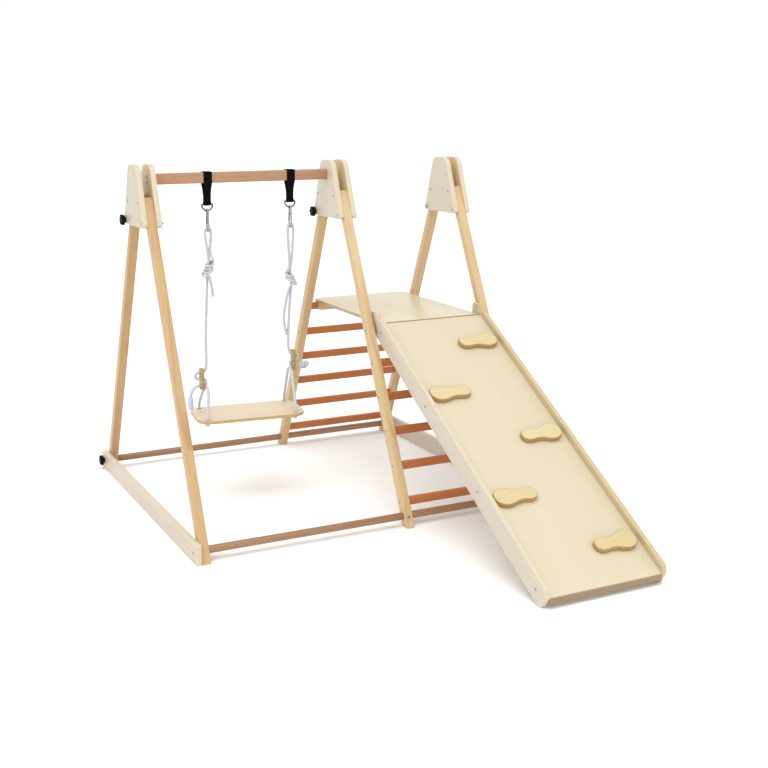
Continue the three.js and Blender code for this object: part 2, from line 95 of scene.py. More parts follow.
class Tree:
    """A material's node tree, with short calls for the nodes that the finishes share."""

    def __init__(self, name, roughness, metallic=0.0, specular=0.5):
        self.material = bpy.data.materials.new(name)
        self.material.use_nodes = True
        self.nodes = self.material.node_tree.nodes
        self.links = self.material.node_tree.links
        self.shader = self.nodes["Principled BSDF"]
        self.shader.inputs["Roughness"].default_value = roughness
        self.shader.inputs["Metallic"].default_value = metallic
        self.shader.inputs["Specular IOR Level"].default_value = specular

    def put(self, socket, value):
        if isinstance(value, bpy.types.NodeSocket):
            self.links.new(value, socket)
        elif value is not None:
            socket.default_value = value

    def add(self, kind, *values, **settings):
        node = self.nodes.new(kind)
        for key, value in settings.items():
            setattr(node, key, value)
        for socket, value in zip(node.inputs, values):
            self.put(socket, value)
        return node

    def math(self, operation, a, b=0.0):
        return self.add("ShaderNodeMath", a, b, operation=operation).outputs[0]

    def attribute(self, name):
        node = self.add("ShaderNodeAttribute", attribute_name=name)
        return node.outputs["Vector" if name in ("grain", "weave") else "Fac"]

    def scaled(self, vector, scale):
        return self.add("ShaderNodeMapping", vector, (0, 0, 0), (0, 0, 0), scale).outputs[0]

    def noise(self, vector, scale=1.0, detail=3.0, roughness=0.5):
        node = self.add("ShaderNodeTexNoise")
        self.put(node.inputs["Vector"], vector)
        node.inputs["Scale"].default_value = scale
        node.inputs["Detail"].default_value = detail
        node.inputs["Roughness"].default_value = roughness
        return node.outputs["Fac"]

    def band(self, value, low, high):
        """0 below low, 1 above high and smooth between."""
        node = self.add("ShaderNodeMapRange", value, low, high, 0.0, 1.0, interpolation_type="SMOOTHSTEP")
        return node.outputs[0]

    def mix(self, share, a, b):
        """Colour a where share is 0 and colour b where it is 1."""
        node = self.nodes.new("ShaderNodeMix")
        node.data_type = "RGBA"
        self.put(node.inputs["Factor"], share)
        for socket, colour in zip(node.inputs[6:8], (a, b)):
            self.put(socket, colour)
        return node.outputs[2]

    def colour(self, value):
        self.put(self.shader.inputs["Base Color"], value)

    def rough(self, value, low, high):
        spread = self.add("ShaderNodeMapRange", value, 0.0, 1.0, low, high).outputs[0]
        self.put(self.shader.inputs["Roughness"], spread)

    def bump(self, height, distance, strength):
        node = self.add("ShaderNodeBump")
        node.inputs["Strength"].default_value = strength
        node.inputs["Distance"].default_value = distance
        self.put(node.inputs["Height"], height)
        self.put(self.shader.inputs["Normal"], node.outputs[0])


def wood(name, light, dark, streak, rings, ring_gap, fleck=0.0, edge=None, gloss=(0.36, 0.5)):
    """Varnished wood. Its grain attribute is (along, across, depth) in metres and tone is one number for
    the piece. Plywood has three edge colours: its ply attribute counts the veneers from face to face."""
    t = Tree(name, gloss[0])
    grain = t.attribute("grain")
    wander = t.noise(t.scaled(grain, (1.1, 9, 9)), 1.0, 2.0)
    parts = t.add("ShaderNodeSeparateXYZ", grain)
    heart = t.math("ADD", parts.outputs[1], t.math("MULTIPLY", wander, 0.055))
    wave = t.math("SINE", t.math("MULTIPLY", heart, 2 * math.pi / ring_gap))
    gaps = t.band(t.noise(t.scaled(grain, (1.5, 25, 25))), 0.35, 0.65)
    ring = t.math("MULTIPLY", t.band(wave, 0.1, 1.0), gaps)
    fibre = t.noise(t.scaled(grain, (7, 420, 420)), 1.0, 4.0, 0.6)
    broad = t.noise(t.scaled(grain, (1.6, 18, 18)), 1.0, 2.0)
    tone = t.math("ADD", t.math("MULTIPLY", t.attribute("tone"), 0.55), t.math("MULTIPLY", broad, 0.45))
    colour = t.mix(t.band(tone, 0.1, 0.9), srgb(light), srgb(dark))
    colour = t.mix(t.math("MULTIPLY", ring, rings), colour, srgb(streak))
    colour = t.mix(t.math("MULTIPLY", t.band(fibre, 0.42, 0.72), 0.35 * rings + 0.1), colour, srgb(streak))
    if fleck:
        dash = t.band(t.noise(t.scaled(grain, (90, 900, 900)), 1.0, 1.0), 0.6, 0.7)
        colour = t.mix(t.math("MULTIPLY", dash, fleck), colour, srgb(streak))
    height = fibre
    if edge:
        ply = t.attribute("ply")
        wavy = t.math("SINE", t.math("MULTIPLY", ply, math.pi))
        core = t.math("SUBTRACT", 1.0, t.band(wavy, -0.45, -0.1))
        from_face = t.math("MULTIPLY", ply, t.math("SUBTRACT", t.attribute("plies"), ply))
        on_edge = t.band(from_face, 0.15, 0.6)
        pores = t.noise(t.scaled(grain, (350, 350, 60)), 1.0, 2.0)
        layer = t.mix(core, srgb(edge[0]), srgb(edge[1]))
        layer = t.mix(t.math("MULTIPLY", t.band(pores, 0.5, 0.75), 0.4), layer, srgb(edge[2]))
        colour = t.mix(on_edge, colour, layer)
        height = t.math("ADD", fibre, t.math("MULTIPLY", t.math("MULTIPLY", core, on_edge), -1.2))
    t.colour(colour)
    t.rough(broad, *gloss)
    t.bump(height, 0.00012, 0.5)
    t.shader.inputs["Coat Weight"].default_value = 0.12
    t.shader.inputs["Coat Roughness"].default_value = 0.3
    return t.material


def moulded_plastic():
    t = Tree("black_moulded", 0.5, specular=0.12)
    spot = t.noise(t.attribute("grain"), 900, 2.0)
    t.colour(t.mix(t.noise(t.attribute("grain"), 60), srgb("020203"), srgb("060607")))
    t.rough(spot, 0.42, 0.6)
    t.bump(spot, 0.0001, 0.5)
    return t.material


def metal(name, light, dark, roughness):
    t = Tree(name, roughness, 1.0)
    cloud = t.noise(t.attribute("grain"), 180, 4.0)
    scratch = t.noise(t.scaled(t.attribute("grain"), (1500, 1500, 90)), 1.0, 3.0)
    t.colour(t.mix(t.band(cloud, 0.3, 0.7), srgb(light), srgb(dark)))
    t.rough(t.math("ADD", t.math("MULTIPLY", cloud, 0.5), t.math("MULTIPLY", scratch, 0.5)),
            roughness - 0.1, roughness + 0.16)
    t.bump(scratch, 0.00003, 0.4)
    return t.material


def woven(name, low, high, ribs):
    """Flat webbing. The weave attribute is (along, across, 0) in metres."""
    t = Tree(name, 0.9, specular=0.12)
    parts = t.add("ShaderNodeSeparateXYZ", t.attribute("weave"))
    across = t.math("SINE", t.math("MULTIPLY", parts.outputs[1], 2 * math.pi / ribs))
    slant = t.math("ADD", parts.outputs[0], t.math("MULTIPLY", t.math("ABSOLUTE", across), ribs * 0.4))
    along = t.math("SINE", t.math("MULTIPLY", slant, 2 * math.pi / (ribs * 0.7)))
    knit = t.math("ADD", t.math("MULTIPLY", across, 0.5), t.math("MULTIPLY", along, 0.5))
    fuzz = t.noise(t.attribute("weave"), 2500, 2.0)
    height = t.math("ADD", knit, t.math("MULTIPLY", fuzz, 0.4))
    # Darker where the weave dips: painted shade in its hollows.
    t.colour(t.mix(t.band(height, -0.6, 1.2), srgb(low), srgb(high)))
    t.bump(knit, 0.0003, 0.8)
    return t.material


def rope_finish():
    """Braided rope. The weave attribute is (along in metres, turn in radians, strand height 0 to 1)."""
    t = Tree("white_braid", 0.8, specular=0.25)
    weave = t.attribute("weave")
    parts = t.add("ShaderNodeSeparateXYZ", weave)
    depth = parts.outputs[2]
    yarn = t.noise(t.scaled(weave, (1400, 9, 1)), 1.0, 3.0, 0.6)
    dust = t.noise(t.scaled(weave, (14, 0.6, 0)), 1.0, 2.0)
    # Darker where the strands dip between each other, lighter on their crowns: painted shade in the braid's
    # grooves.
    colour = t.mix(t.band(depth, 0.0, 0.75), srgb("84868e"), srgb("c4c4c9"))
    colour = t.mix(t.math("MULTIPLY", t.band(yarn, 0.45, 0.8), 0.35), colour, srgb("9c9ea5"))
    t.colour(t.mix(t.math("MULTIPLY", dust, 0.18), colour, srgb("c0bdb6")))
    t.bump(t.math("ADD", depth, t.math("MULTIPLY", yarn, 0.5)), 0.0003, 0.6)
    t.shader.inputs["Sheen Weight"].default_value = 0.25
    return t.material


def cap_finish():
    t = Tree("end_cap", 0.35)
    t.colour(t.mix(t.noise(t.attribute("grain"), 300), srgb("adb9c4"), srgb("c8d2da")))
    t.bump(t.noise(t.attribute("grain"), 700), 0.0002, 0.4)
    return t.material


def pine(name, light, dark, streak):
    return wood(name, light, dark, streak, rings=0.5, ring_gap=0.0065)


def beech(name, light, dark, streak):
    return wood(name, light, dark, streak, rings=0.3, ring_gap=0.009, fleck=0.5)


def birch(name, light, dark, streak, edge):
    return wood(name, light, dark, streak, rings=0.35, ring_gap=0.02, edge=edge)


def lacquered(name, light, dark, streak, edge, gloss):
    """Plywood board under a glossier coat, its figure almost hidden."""
    return wood(name, light, dark, streak, rings=0.08, ring_gap=0.026, edge=edge, gloss=gloss)


PLY_EDGE = ("d6cbb4", "c9ba98", "bcaa85")
# Warmer, darker copy of the ply edge for the right rail: painted warm shade.
PLY_EDGE_PAINTED_SHADE = ("d0bb92", "bea77c", "a98f62")
# Dark ply-edge colours of the ramp board: partly the ply's own edge colour, partly painted shade on the
# board's ends.
RAMP_EDGE = ("a0876a", "826b50", "6d5840")
DECK_EDGE = ("b89f76", "a1875f", "8a714e")
HOLD_EDGE = ("bd9d62", "9a7b46", "866834")
SEAT_EDGE = ("ccb283", "a98b57", "987846")
PINE = pine("pine", "d3b98c", "c5a172", "aa7c4e")
DARK_PINE = pine("pine_dark", "cbac7d", "bd9666", "a37346")
BEECH = beech("beech", "ba906e", "a77855", "875736")
ROD_BEECH = beech("rod_beech", "a98462", "976d4b", "794f30")
RED_BEECH = beech("red_beech", "c3783a", "ae632c", "884620")
BIRCH = birch("birch_ply", "cfc5b5", "c5b9a5", "b6a88d", PLY_EDGE)
# Lighter, warmer copy of the birch ply for the inner gussets: painted warm bounce light on faces that lie in
# shade between the gussets.
BIRCH_PAINTED_BOUNCE = birch("birch_ply_painted_bounce", "e2c99c", "dabf8e", "c9ad78", PLY_EDGE)
# Warmer copy of the birch ply for the right rail, whose visible inner face is in shade: its tone is painted
# warm shade.
BIRCH_PAINTED_SHADE = birch("birch_ply_painted_shade", "cdbd9c", "c3b28e", "b4a179", PLY_EDGE_PAINTED_SHADE)
RAMP = lacquered("ramp_board", "d8cdb4", "d0c3a7", "c4b492", RAMP_EDGE, (0.3, 0.42))
DECK = lacquered("deck_board", "d5c9ab", "ccbf9e", "c0b08a", DECK_EDGE, (0.26, 0.38))
HOLD = wood("hold_ply", "d5c79c", "ccb989", "bfa975", rings=0.3, ring_gap=0.018, edge=HOLD_EDGE)
SEAT = wood("seat_ply", "e3d4bd", "d9c8a9", "cab490", rings=0.35, ring_gap=0.018, edge=SEAT_EDGE)
BLACK = moulded_plastic()
ZINC = metal("zinc_plate", "b9bfc2", "8f969a", 0.3)
DARK_STEEL = metal("dark_steel", "76797c", "4c4f52", 0.34)
WEBBING = woven("black_webbing", "030304", "0b0b0d", 0.0016)
THREAD = woven("black_thread", "0c0c0e", "202124", 0.0008)
ROPE = rope_finish()
CAP = cap_finish()

# ---- meshes ----
SMOOTH_ANGLE = math.radians(38)
CAP_SHARE = 0.6
X, Y, Z = Vector((1, 0, 0)), Vector((0, 1, 0)), Vector((0, 0, 1))


def attribute(mesh, name, values, kind="FLOAT"):
    layer = mesh.attributes.new(name, kind, "POINT")
    if kind == "FLOAT":
        layer.data.foreach_set("value", values)
    else:
        layer.data.foreach_set("vector", [c for v in values for c in v])


def show(mesh, name, material, body, nodes=()):
    """Puts the finished mesh in the scene as a piece on a body, in place of the CAD nodes it stands for."""
    mesh.shade_smooth()
    mesh.set_sharp_from_angle(angle=SMOOTH_ANGLE)
    attribute(mesh, "tone", [draw.random()] * len(mesh.vertices))
    if "grain" not in mesh.attributes:
        attribute(mesh, "grain", [v.co for v in mesh.vertices], "FLOAT_VECTOR")
    mesh.materials.append(material)
    piece = bpy.data.objects.new(name, mesh)
    link(piece)
    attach(piece, body)
    if nodes:
        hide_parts(*nodes)
    return piece


def outline(corners, steps=8):
    """Closed line through corners (a, b, radius), each corner eased by its radius."""
    line = []
    for i, corner in enumerate(corners):
        here = Vector(corner[:2])
        ease = corner[2] if len(corner) > 2 else 0
        if not ease:
            line.append(here)
            continue
        before, after = Vector(corners[i - 1][:2]), Vector(corners[(i + 1) % len(corners)][:2])
        start = here + (before - here).normalized() * ease
        end = here + (after - here).normalized() * ease
        for k in range(steps + 1):
            t = k / steps
            line.append(start.lerp(here, t).lerp(here.lerp(end, t), t))
    return line


def rounded(a0, b0, a1, b1, r, steps=8):
    return outline([(a0, b0, r), (a1, b0, r), (a1, b1, r), (a0, b1, r)], steps)


def circle(a, b, r, count=24):
    turns = [2 * math.pi * i / count for i in range(count)]
    return [Vector((a + r * math.cos(s), b + r * math.sin(s))) for s in turns]


def flat_mesh(loops, thickness, edge):
    """Slab between the loops, its depth from 0 to thickness, with round eased edges."""
    curve = bpy.data.curves.new("outline", "CURVE")
    curve.dimensions = "2D"
    curve.fill_mode = "BOTH"
    curve.extrude = thickness / 2 - edge
    curve.bevel_depth = edge
    curve.bevel_resolution = 2
    curve.offset = -edge
    for loop in loops:
        spline = curve.splines.new("POLY")
        spline.points.add(len(loop) - 1)
        spline.use_cyclic_u = True
        for point, (a, b) in zip(spline.points, loop):
            point.co = (a, b, 0, 1)
    holder = bpy.data.objects.new("outline", curve)
    link(holder)
    mesh = bpy.data.meshes.new_from_object(holder.evaluated_get(bpy.context.evaluated_depsgraph_get()))
    bpy.data.objects.remove(holder)
    bpy.data.curves.remove(curve)
    work = bmesh.new()
    work.from_mesh(mesh)
    bmesh.ops.remove_doubles(work, verts=work.verts, dist=edge * 0.02)
    bmesh.ops.recalc_face_normals(work, faces=work.faces)
    work.to_mesh(mesh)
    work.free()
    mesh.transform(Matrix.Translation((0, 0, thickness / 2)))
    mesh.materials.clear()
    return mesh


def mark_grain(mesh, along, deep, thickness, plies):
    """Writes the grain and ply attributes from the mesh's own axes, in millimetres before placing."""
    across = deep.cross(along)
    start = Vector((draw.uniform(0, 9), draw.uniform(0, 9), draw.uniform(0, 9)))
    places = [start + Vector((v.co @ along, v.co @ across, v.co @ deep)) * MM for v in mesh.vertices]
    attribute(mesh, "grain", places, "FLOAT_VECTOR")
    if plies:
        attribute(mesh, "ply", [min(max(v.co @ deep / thickness, 0), 1) * plies for v in mesh.vertices])
        attribute(mesh, "plies", [plies] * len(mesh.vertices))


def place(mesh, a, b, c, origin):
    """Moves the mesh from its own axes, in millimetres, to the plan's directions a, b, c from origin."""
    turn = Matrix((a, b, c)).transposed().to_4x4()
    mesh.transform(Matrix.Translation(at(*origin)) @ Matrix.Scale(MM, 4) @ turn)
    return mesh


def board(node, loops, x0, x1, edge, material, body, slot, along=(1, 0, 0), plies=0):
    """A flat piece whose outline is in the Y-Z plane, from x0 to x1, in place of its CAD node."""
    mesh = flat_mesh(loops, x1 - x0, edge)
    along = Vector(along).normalized()
    mark_grain(mesh, along, Vector((1, 0, 0)) if along.z else Z, x1 - x0, plies)
    show(place(mesh, Y, Z, X, (x0, 0, 0)), node + ".wood", material, body, [node])


def skin(rings, sides, closed=False):
    """Faces over so many rings of so many points each, either closed to a loop or with both ends covered."""
    faces = []
    for i in range(rings if closed else rings - 1):
        for k in range(sides):
            j, m = (i + 1) % rings, (k + 1) % sides
            faces.append((i * sides + k, i * sides + m, j * sides + m, j * sides + k))
    if not closed:
        faces.append(tuple(reversed(range(sides))))
        faces.append(tuple(range((rings - 1) * sides, rings * sides)))
    return faces


def stations(points, closed):
    """(place, direction, sideways, length so far, 1.0) at each point, without twist from one to the next."""
    count = len(points)
    ways = []
    for i in range(count):
        back = points[(i - 1) % count] if closed or i else points[0]
        ahead = points[(i + 1) % count] if closed or i < count - 1 else points[-1]
        ways.append((ahead - back).normalized())
    side = ways[0].orthogonal().normalized()
    found, run = [], 0.0
    for i in range(count):
        if i:
            run += (points[i] - points[i - 1]).length
            side = (side - ways[i] * side.dot(ways[i])).normalized()
        found.append((points[i], ways[i], side.copy(), run, 1.0))
    return found


def capped(found, reach, caps):
    """The stations with a round cap of the given reach added at each end, its share of the radius falling."""
    (start, back, *start_rest, _), (end, ahead, *end_rest, _) = found[0], found[-1]
    bends = [math.pi / 2 * k / caps for k in range(1, caps)]
    head = [(start - back * reach * math.sin(s), back, *start_rest, math.cos(s)) for s in reversed(bends)]
    tail = [(end + ahead * reach * math.sin(s), ahead, *end_rest, math.cos(s)) for s in bends]
    return head + found + tail


def sweep(points, radius, sides, closed=False, caps=4):
    """Tube along points in metres, with round caps. radius is a number or a function of (length, turn)."""
    size = radius if callable(radius) else (lambda length, turn: radius)
    found = stations([Vector(p) for p in points], closed)
    if not closed:
        found = capped(found, size(0, 0) * CAP_SHARE, caps)
    vertices, weave = [], []
    for centre, way, across, length, share in found:
        other = way.cross(across)
        for k in range(sides):
            turn = 2 * math.pi * k / sides
            r = size(length, turn) * share
            vertices.append(centre + (across * math.cos(turn) + other * math.sin(turn)) * r)
            weave.append((length, turn, min(max(r / (size(length, 0) * share + 1e-9), 0), 1)))
    mesh = bpy.data.meshes.new("sweep")
    mesh.from_pydata(vertices, [], skin(len(found), sides, closed))
    attribute(mesh, "weave", weave, "FLOAT_VECTOR")
    return mesh


def lofted(rings):
    """Closed mesh from rings of points."""
    mesh = bpy.data.meshes.new("loft")
    mesh.from_pydata([p for ring in rings for p in ring], [], skin(len(rings), len(rings[0])))
    return mesh


def joined(meshes):
    """One mesh from several."""
    work = bmesh.new()
    for mesh in meshes:
        work.from_mesh(mesh)
    made = bpy.data.meshes.new("joined")
    work.to_mesh(made)
    work.free()
    return made


def length_of(line):
    return sum((b - a).length for a, b in zip(line, line[1:]))


def smooth_line(points, step, closed=False):
    """Points a step apart on the centripetal Catmull-Rom curve through the given ones, in the same units."""
    knots = [Vector(p) for p in points]
    if closed:
        ends = [knots[-1], *knots, knots[0], knots[1]]
    else:
        ends = [knots[0] * 2 - knots[1], *knots, knots[-1] * 2 - knots[-2]]
    dense = []
    for p0, p1, p2, p3 in zip(ends, ends[1:], ends[2:], ends[3:]):
        t0 = 0.0
        t1 = t0 + (p1 - p0).length ** 0.5
        t2 = t1 + (p2 - p1).length ** 0.5
        t3 = t2 + (p3 - p2).length ** 0.5
        pieces = max(6, int((p2 - p1).length / step * 3))
        for k in range(pieces):
            t = t1 + (t2 - t1) * k / pieces
            a1 = p0.lerp(p1, (t - t0) / (t1 - t0))
            a2 = p1.lerp(p2, (t - t1) / (t2 - t1))
            a3 = p2.lerp(p3, (t - t2) / (t3 - t2))
            b1 = a1.lerp(a2, (t - t0) / (t2 - t0))
            b2 = a2.lerp(a3, (t - t1) / (t3 - t1))
            dense.append(b1.lerp(b2, (t - t1) / (t2 - t1)))
    dense.append(knots[0] if closed else knots[-1])
    total = length_of(dense)
    count = max(2, round(total / step))
    gap = total / count
    line, run, target = [dense[0]], 0.0, gap
    for a, b in zip(dense, dense[1:]):
        length = (b - a).length
        while run + length >= target - 1e-9 and len(line) < count:
            line.append(a.lerp(b, (target - run) / length))
            target += gap
        run += length
    if not closed:
        line.append(dense[-1])
    return line


# ---- ropes ----
SWING_X = 379
STRAP_OUT = 153
ROPE_R = 5
HOOK_LOW, HOOK_TOP, HOOK_WIRE = 970, 1053, 7
SEAT_TOP, SEAT_T = 317, 12
HOLE_OUT, HOLE_Y = 157, 93
TOGGLE_T, TOGGLE_STEP = 13, 24
SEAT_X, SEAT_Y, SEAT_TURN = 350, -10, math.radians(-7)
KNOT_POINTS, KNOT_START, KNOT_WIDE, KNOT_TAPER = 12, math.radians(270), 16.5, 6.5
STOPPER_POINTS, STOPPER_START, STOPPER_TURNS = 30, math.radians(75), 2.4
STOPPER_R, STOPPER_TAPER, STOPPER_OUT, STOPPER_LONG = 10.2, 1.2, 42, 24
ROPE_STEP, ROPE_SIDES = 2.2, 24
BRAID_PITCH, BRAID_STRANDS, BRAID_RIDGE = 0.011, 4, 0.5
CAP_LONG, CAP_R, SLEEVE_LONG, SLEEVE_R = 5, 5.3, 36, 9.5
SIDES = {"left": -1, "right": 1}


def knot(middle, low, high, turns, shift, tilt, cross):
    """Tight turns round the two standing parts, from the knot's low end to its high one, as (out, y, z).
    shift is how far the lower turns stand outward of middle, the upper ones as far inward. tilt lowers
    the outer side of each turn, by less and then the other way round the further up it lies if cross > 1."""
    points = []
    count = round(turns * KNOT_POINTS)
    for k in range(count + 1):
        share = k / count
        turn = KNOT_START + share * turns * 2 * math.pi
        swell = KNOT_WIDE - KNOT_TAPER * share + 1.5 * math.sin(share * 9)
        lean = tilt * math.cos(turn + 0.6) * (1 - cross * share)
        out = middle + shift * (1 - 2 * share) + swell * math.cos(turn)
        points.append((out, swell * math.sin(turn), low + (high - low) * share - lean))
    return points


def stopper(out, z):
    """Overhand stopper at the rope's end: straight through its own turns, then back over itself."""
    points = [(out + 14, 0, z), (out + 30, 0, z), (out + 42, 0, z - 2), (out + 50, 4, z - 3),
              (out + 53, 10, z + 2), (out + 49, 10, z + 8)]
    for k in range(STOPPER_POINTS + 1):
        share = k / STOPPER_POINTS
        turn = STOPPER_START + share * STOPPER_TURNS * 2 * math.pi
        r = STOPPER_R - STOPPER_TAPER * share
        reach = STOPPER_OUT - STOPPER_LONG * share
        points.append((out + reach, r * math.cos(turn), z + r * math.sin(turn)))
    return points


def seat_hole(side, row):
    """One hole of the hung seat as (out, y); row is -1 for the front one and 1 for the rear one."""
    x, y, c, s = side * HOLE_OUT, row * HOLE_Y, math.cos(SEAT_TURN), math.sin(SEAT_TURN)
    return side * (SEAT_X + x * c - y * s - SWING_X), SEAT_Y + x * s + y * c


def rope_route(side, tail, lash, upper, toggle_out, toggle_z, loop, end):
    """From the short end up through the knot, over the hook and back down through that knot, through two
    holes of the toggle, under the seat from its front hole to its rear one, and up through the toggle's
    lowest hole. Points are (out, y, z), with out counted from midway between the two straps."""
    over = HOOK_LOW + HOOK_WIRE + ROPE_R + 1
    hook = STRAP_OUT
    inner, outer = toggle_out - TOGGLE_T / 2, toggle_out + TOGGLE_T / 2
    high, low = toggle_z + TOGGLE_STEP, toggle_z - TOGGLE_STEP
    under = SEAT_TOP - SEAT_T - ROPE_R - 4
    (fx, fy), (rx, ry) = seat_hole(side, -1), seat_hole(side, 1)

    def between(a, b, t):
        return a + (b - a) * t

    return [
        *tail, *lash,
        (hook - 10.5, 0, over - 24), (hook - 9.6, 0, over - 9.5), (hook - 6.7, 0, over - 2.8),
        (hook, 0, over),
        (hook + 6.7, 0, over - 2.8), (hook + 9.6, 0, over - 9.5), (hook + 10.5, 0, over - 24),
        *upper,
        (inner - 9, 0, high + 13), (inner, 0, high), (outer, 0, high),
        (outer + loop - 4, 0, high - 3), (outer + loop, 0, toggle_z + 12),
        (outer + loop - 4, 0, toggle_z + 3), (outer, 0, toggle_z), (inner, 0, toggle_z),
        (inner - 7.5, -3, toggle_z - 7), (inner - 7, -6, toggle_z - 26),
        (between(inner - 12, fx, 0.2), between(0, fy, 0.33), low - 14),
        (fx, fy + 3, SEAT_TOP + 18), (fx, fy, SEAT_TOP + 4), (fx, fy, under + 8),
        (between(fx, rx, 0.03), fy + 6, under + 1), (between(fx, rx, 0.97), ry - 6, under + 1),
        (rx, ry, under + 8), (rx, ry, SEAT_TOP + 4), (rx, ry - 3, SEAT_TOP + 18),
        (between(inner - 8, rx, 0.2), between(0, ry, 0.36), low - 28),
        (inner - 10, 9, low - 9), (inner, 0, low), (outer, 0, low),
        *end,
    ]


ROPES = {
    "left": {
        "tail": [(141, 0, 743), (147, -8, 772), (154, -15, 802)],
        "lash": [*knot(154, 823, 861, 3.75, 6, 9, 0.5), (141, -6, 872), (144.5, -4, 884), (147, 0, 904)],
        "upper": [(157, 0, 908), (153, 3, 876), (158, 0, 840), (160, 0, 808), (172, 0, 600)],
        "toggle_out": 191,
        "toggle_z": 448,
        "loop": 17,
        "end": [(213, 0, 421), (227, 0, 408), (233, 0, 380), (233, 0, 345)],
    },
    "right": {
        "tail": [(129, 0, 582), (121, 0, 640), (130, 0, 700), (143, -6, 752)],
        "lash": [*knot(149, 773, 803, 3.75, 5, 9, 0.3), (137, -6, 817), (142, -5, 829), (146, 0, 850)],
        "upper": [(156.5, 0, 862), (150, 3, 818), (153, 0, 785), (142, 0, 660)],
        "toggle_out": 154,
        "toggle_z": 484,
        "loop": 10,
        "end": stopper(160, 461),
    },
}


def braid(length, turn):
    """Radius of the braided rope in metres: two sets of strands that cross each other."""
    phase = 2 * math.pi * length / BRAID_PITCH
    ridge = max(math.cos(BRAID_STRANDS * turn + phase), math.cos(BRAID_STRANDS * turn - phase))
    return (ROPE_R + BRAID_RIDGE * (ridge - 0.5)) * MM


def make_rope(name, side):
    line = smooth_line(rope_route(side, **ROPES[name]), ROPE_STEP)
    path = [at(SWING_X + side * out, y, z) for out, y, z in line]
    braided = sweep(path, braid, ROPE_SIDES)
    rope = show(braided, f"rope_{name}.braid", ROPE, "swing", [f"rope_{name}"])
    for key, (first, second) in {"low": (path[0], path[3]), "end": (path[-1], path[-4])}.items():
        out = (first - second).normalized() * MM
        sleeve = (name, key) == ("left", "end")
        long, wide = (SLEEVE_LONG, SLEEVE_R) if sleeve else (CAP_LONG, CAP_R)
        rings = smooth_line([first + out * s for s in (1.2, 0.5, 0.2 - long)], 2 * MM)
        cap = sweep(rings, wide * MM, ROPE_SIDES)
        show(cap, f"rope_{name}.{key}_cap", CAP, "swing")


for side_name, side_sign in SIDES.items():
    make_rope(side_name, side_sign)

# ---- A-frames ----
GAP = 0.3
FRAME_X = {"left": 0, "middle": 706, "right": 1172}
LEG_T, LEG_DEPTH, FOOT_Y, LEAN, LEG_TOP = 30, 37, 622, 0.49, 1103
GUSSET_T, GUSSET_LOW, GUSSET_HIGH, HALF_LOW, HALF_HIGH = 18, 1003, 1212, 128, 50
GUSSET_IN = LEG_T / 2 + GAP
GUSSET_OUT = GUSSET_IN + GUSSET_T
PLANK_T, PLANK_H = 18, 66
BAR_Z, BAR_H, BAR_T = 1160, 38, 30
ROD_R, ROD_Z = 12.5, 35
RUNG_COUNT, RUNG_Z, RUNG_STEP, RUNG_H, RUNG_D = 6, 78.7, 109.56, 28, 20
RUNG_ZS = [RUNG_Z + RUNG_STEP * i for i in range(RUNG_COUNT)]
BAY_LEFT, BAY_RIGHT = FRAME_X["middle"] + LEG_T / 2, FRAME_X["right"] - LEG_T / 2
GUSSET_PLIES, RAIL_PLIES, DECK_PLIES, SEAT_PLIES, TOGGLE_PLIES = 13, 11, 9, 9, 15
LEG_EASE, PLATE_EASE, ROD_EASE = 2.4, 1.6, 0.4
ENDS = {"front": -1, "rear": 1}
GUSSET_NAMES = {
    "left": ("outer", "inner"), "middle": ("swing_side", "ladder_side"), "right": ("inner", "outer"),
}


def leg_y(z):
    """How far a leg's outer edge is from the bar's plane at height z."""
    return FOOT_Y - LEAN * z


def leg_mid(z):
    return leg_y(z) - LEG_DEPTH / 2


def make_frame(name):
    middle = FRAME_X[name]
    for end, side in ENDS.items():
        ring = [(side * leg_y(0), 0), (side * leg_y(LEG_TOP), LEG_TOP),
                (side * (leg_y(LEG_TOP) - LEG_DEPTH), LEG_TOP), (side * (leg_y(0) - LEG_DEPTH), 0)]
        finish = DARK_PINE if name == "left" else PINE
        board(f"leg_{name}_{end}", [ring], middle - LEG_T / 2, middle + LEG_T / 2, LEG_EASE, finish,
              "frame", "pine", along=(-side * LEAN, 1, 0))
    plate = outline([(-HALF_LOW, GUSSET_LOW, 20), (HALF_LOW, GUSSET_LOW, 20), (HALF_HIGH, GUSSET_HIGH, 30),
                     (-HALF_HIGH, GUSSET_HIGH, 30)], 10)
    # The inner gussets take the lighter copy of the birch ply, whose brighter tone is painted light in their
    # shaded gap.
    for label, x0, finish in zip(GUSSET_NAMES[name], (-GUSSET_OUT, GUSSET_IN), (BIRCH, BIRCH_PAINTED_BOUNCE)):
        board(f"gusset_{name}_{label}", [plate], middle + x0, middle + x0 + GUSSET_T, PLATE_EASE, finish,
              "frame", "birch_ply", along=(0, 1, 0), plies=GUSSET_PLIES)


def make_plank(name, side):
    shape = outline([(-FOOT_Y, 0, 2), (FOOT_Y, 0, 2), (FOOT_Y, PLANK_H, 8), (-FOOT_Y, PLANK_H, 8)], 6)
    faces = sorted(FRAME_X[name] + side * d for d in (GUSSET_IN, GUSSET_IN + PLANK_T))
    board(f"base_plank_{name}", [shape], *faces, PLATE_EASE, BIRCH, "frame", "birch_ply", plies=GUSSET_PLIES)


def crossbar(node, section, x0, x1, finish):
    """A bar, rod or rung that runs across the set, its grain along it."""
    board(node, [section], x0, x1, ROD_EASE, finish, "frame", "beech", along=(0, 0, 1))


def centred(y, z, depth, height, r):
    """A rectangle of the given depth and height with round corners, centred on (y, z)."""
    return rounded(y - depth / 2, z - height / 2, y + depth / 2, z + height / 2, r)


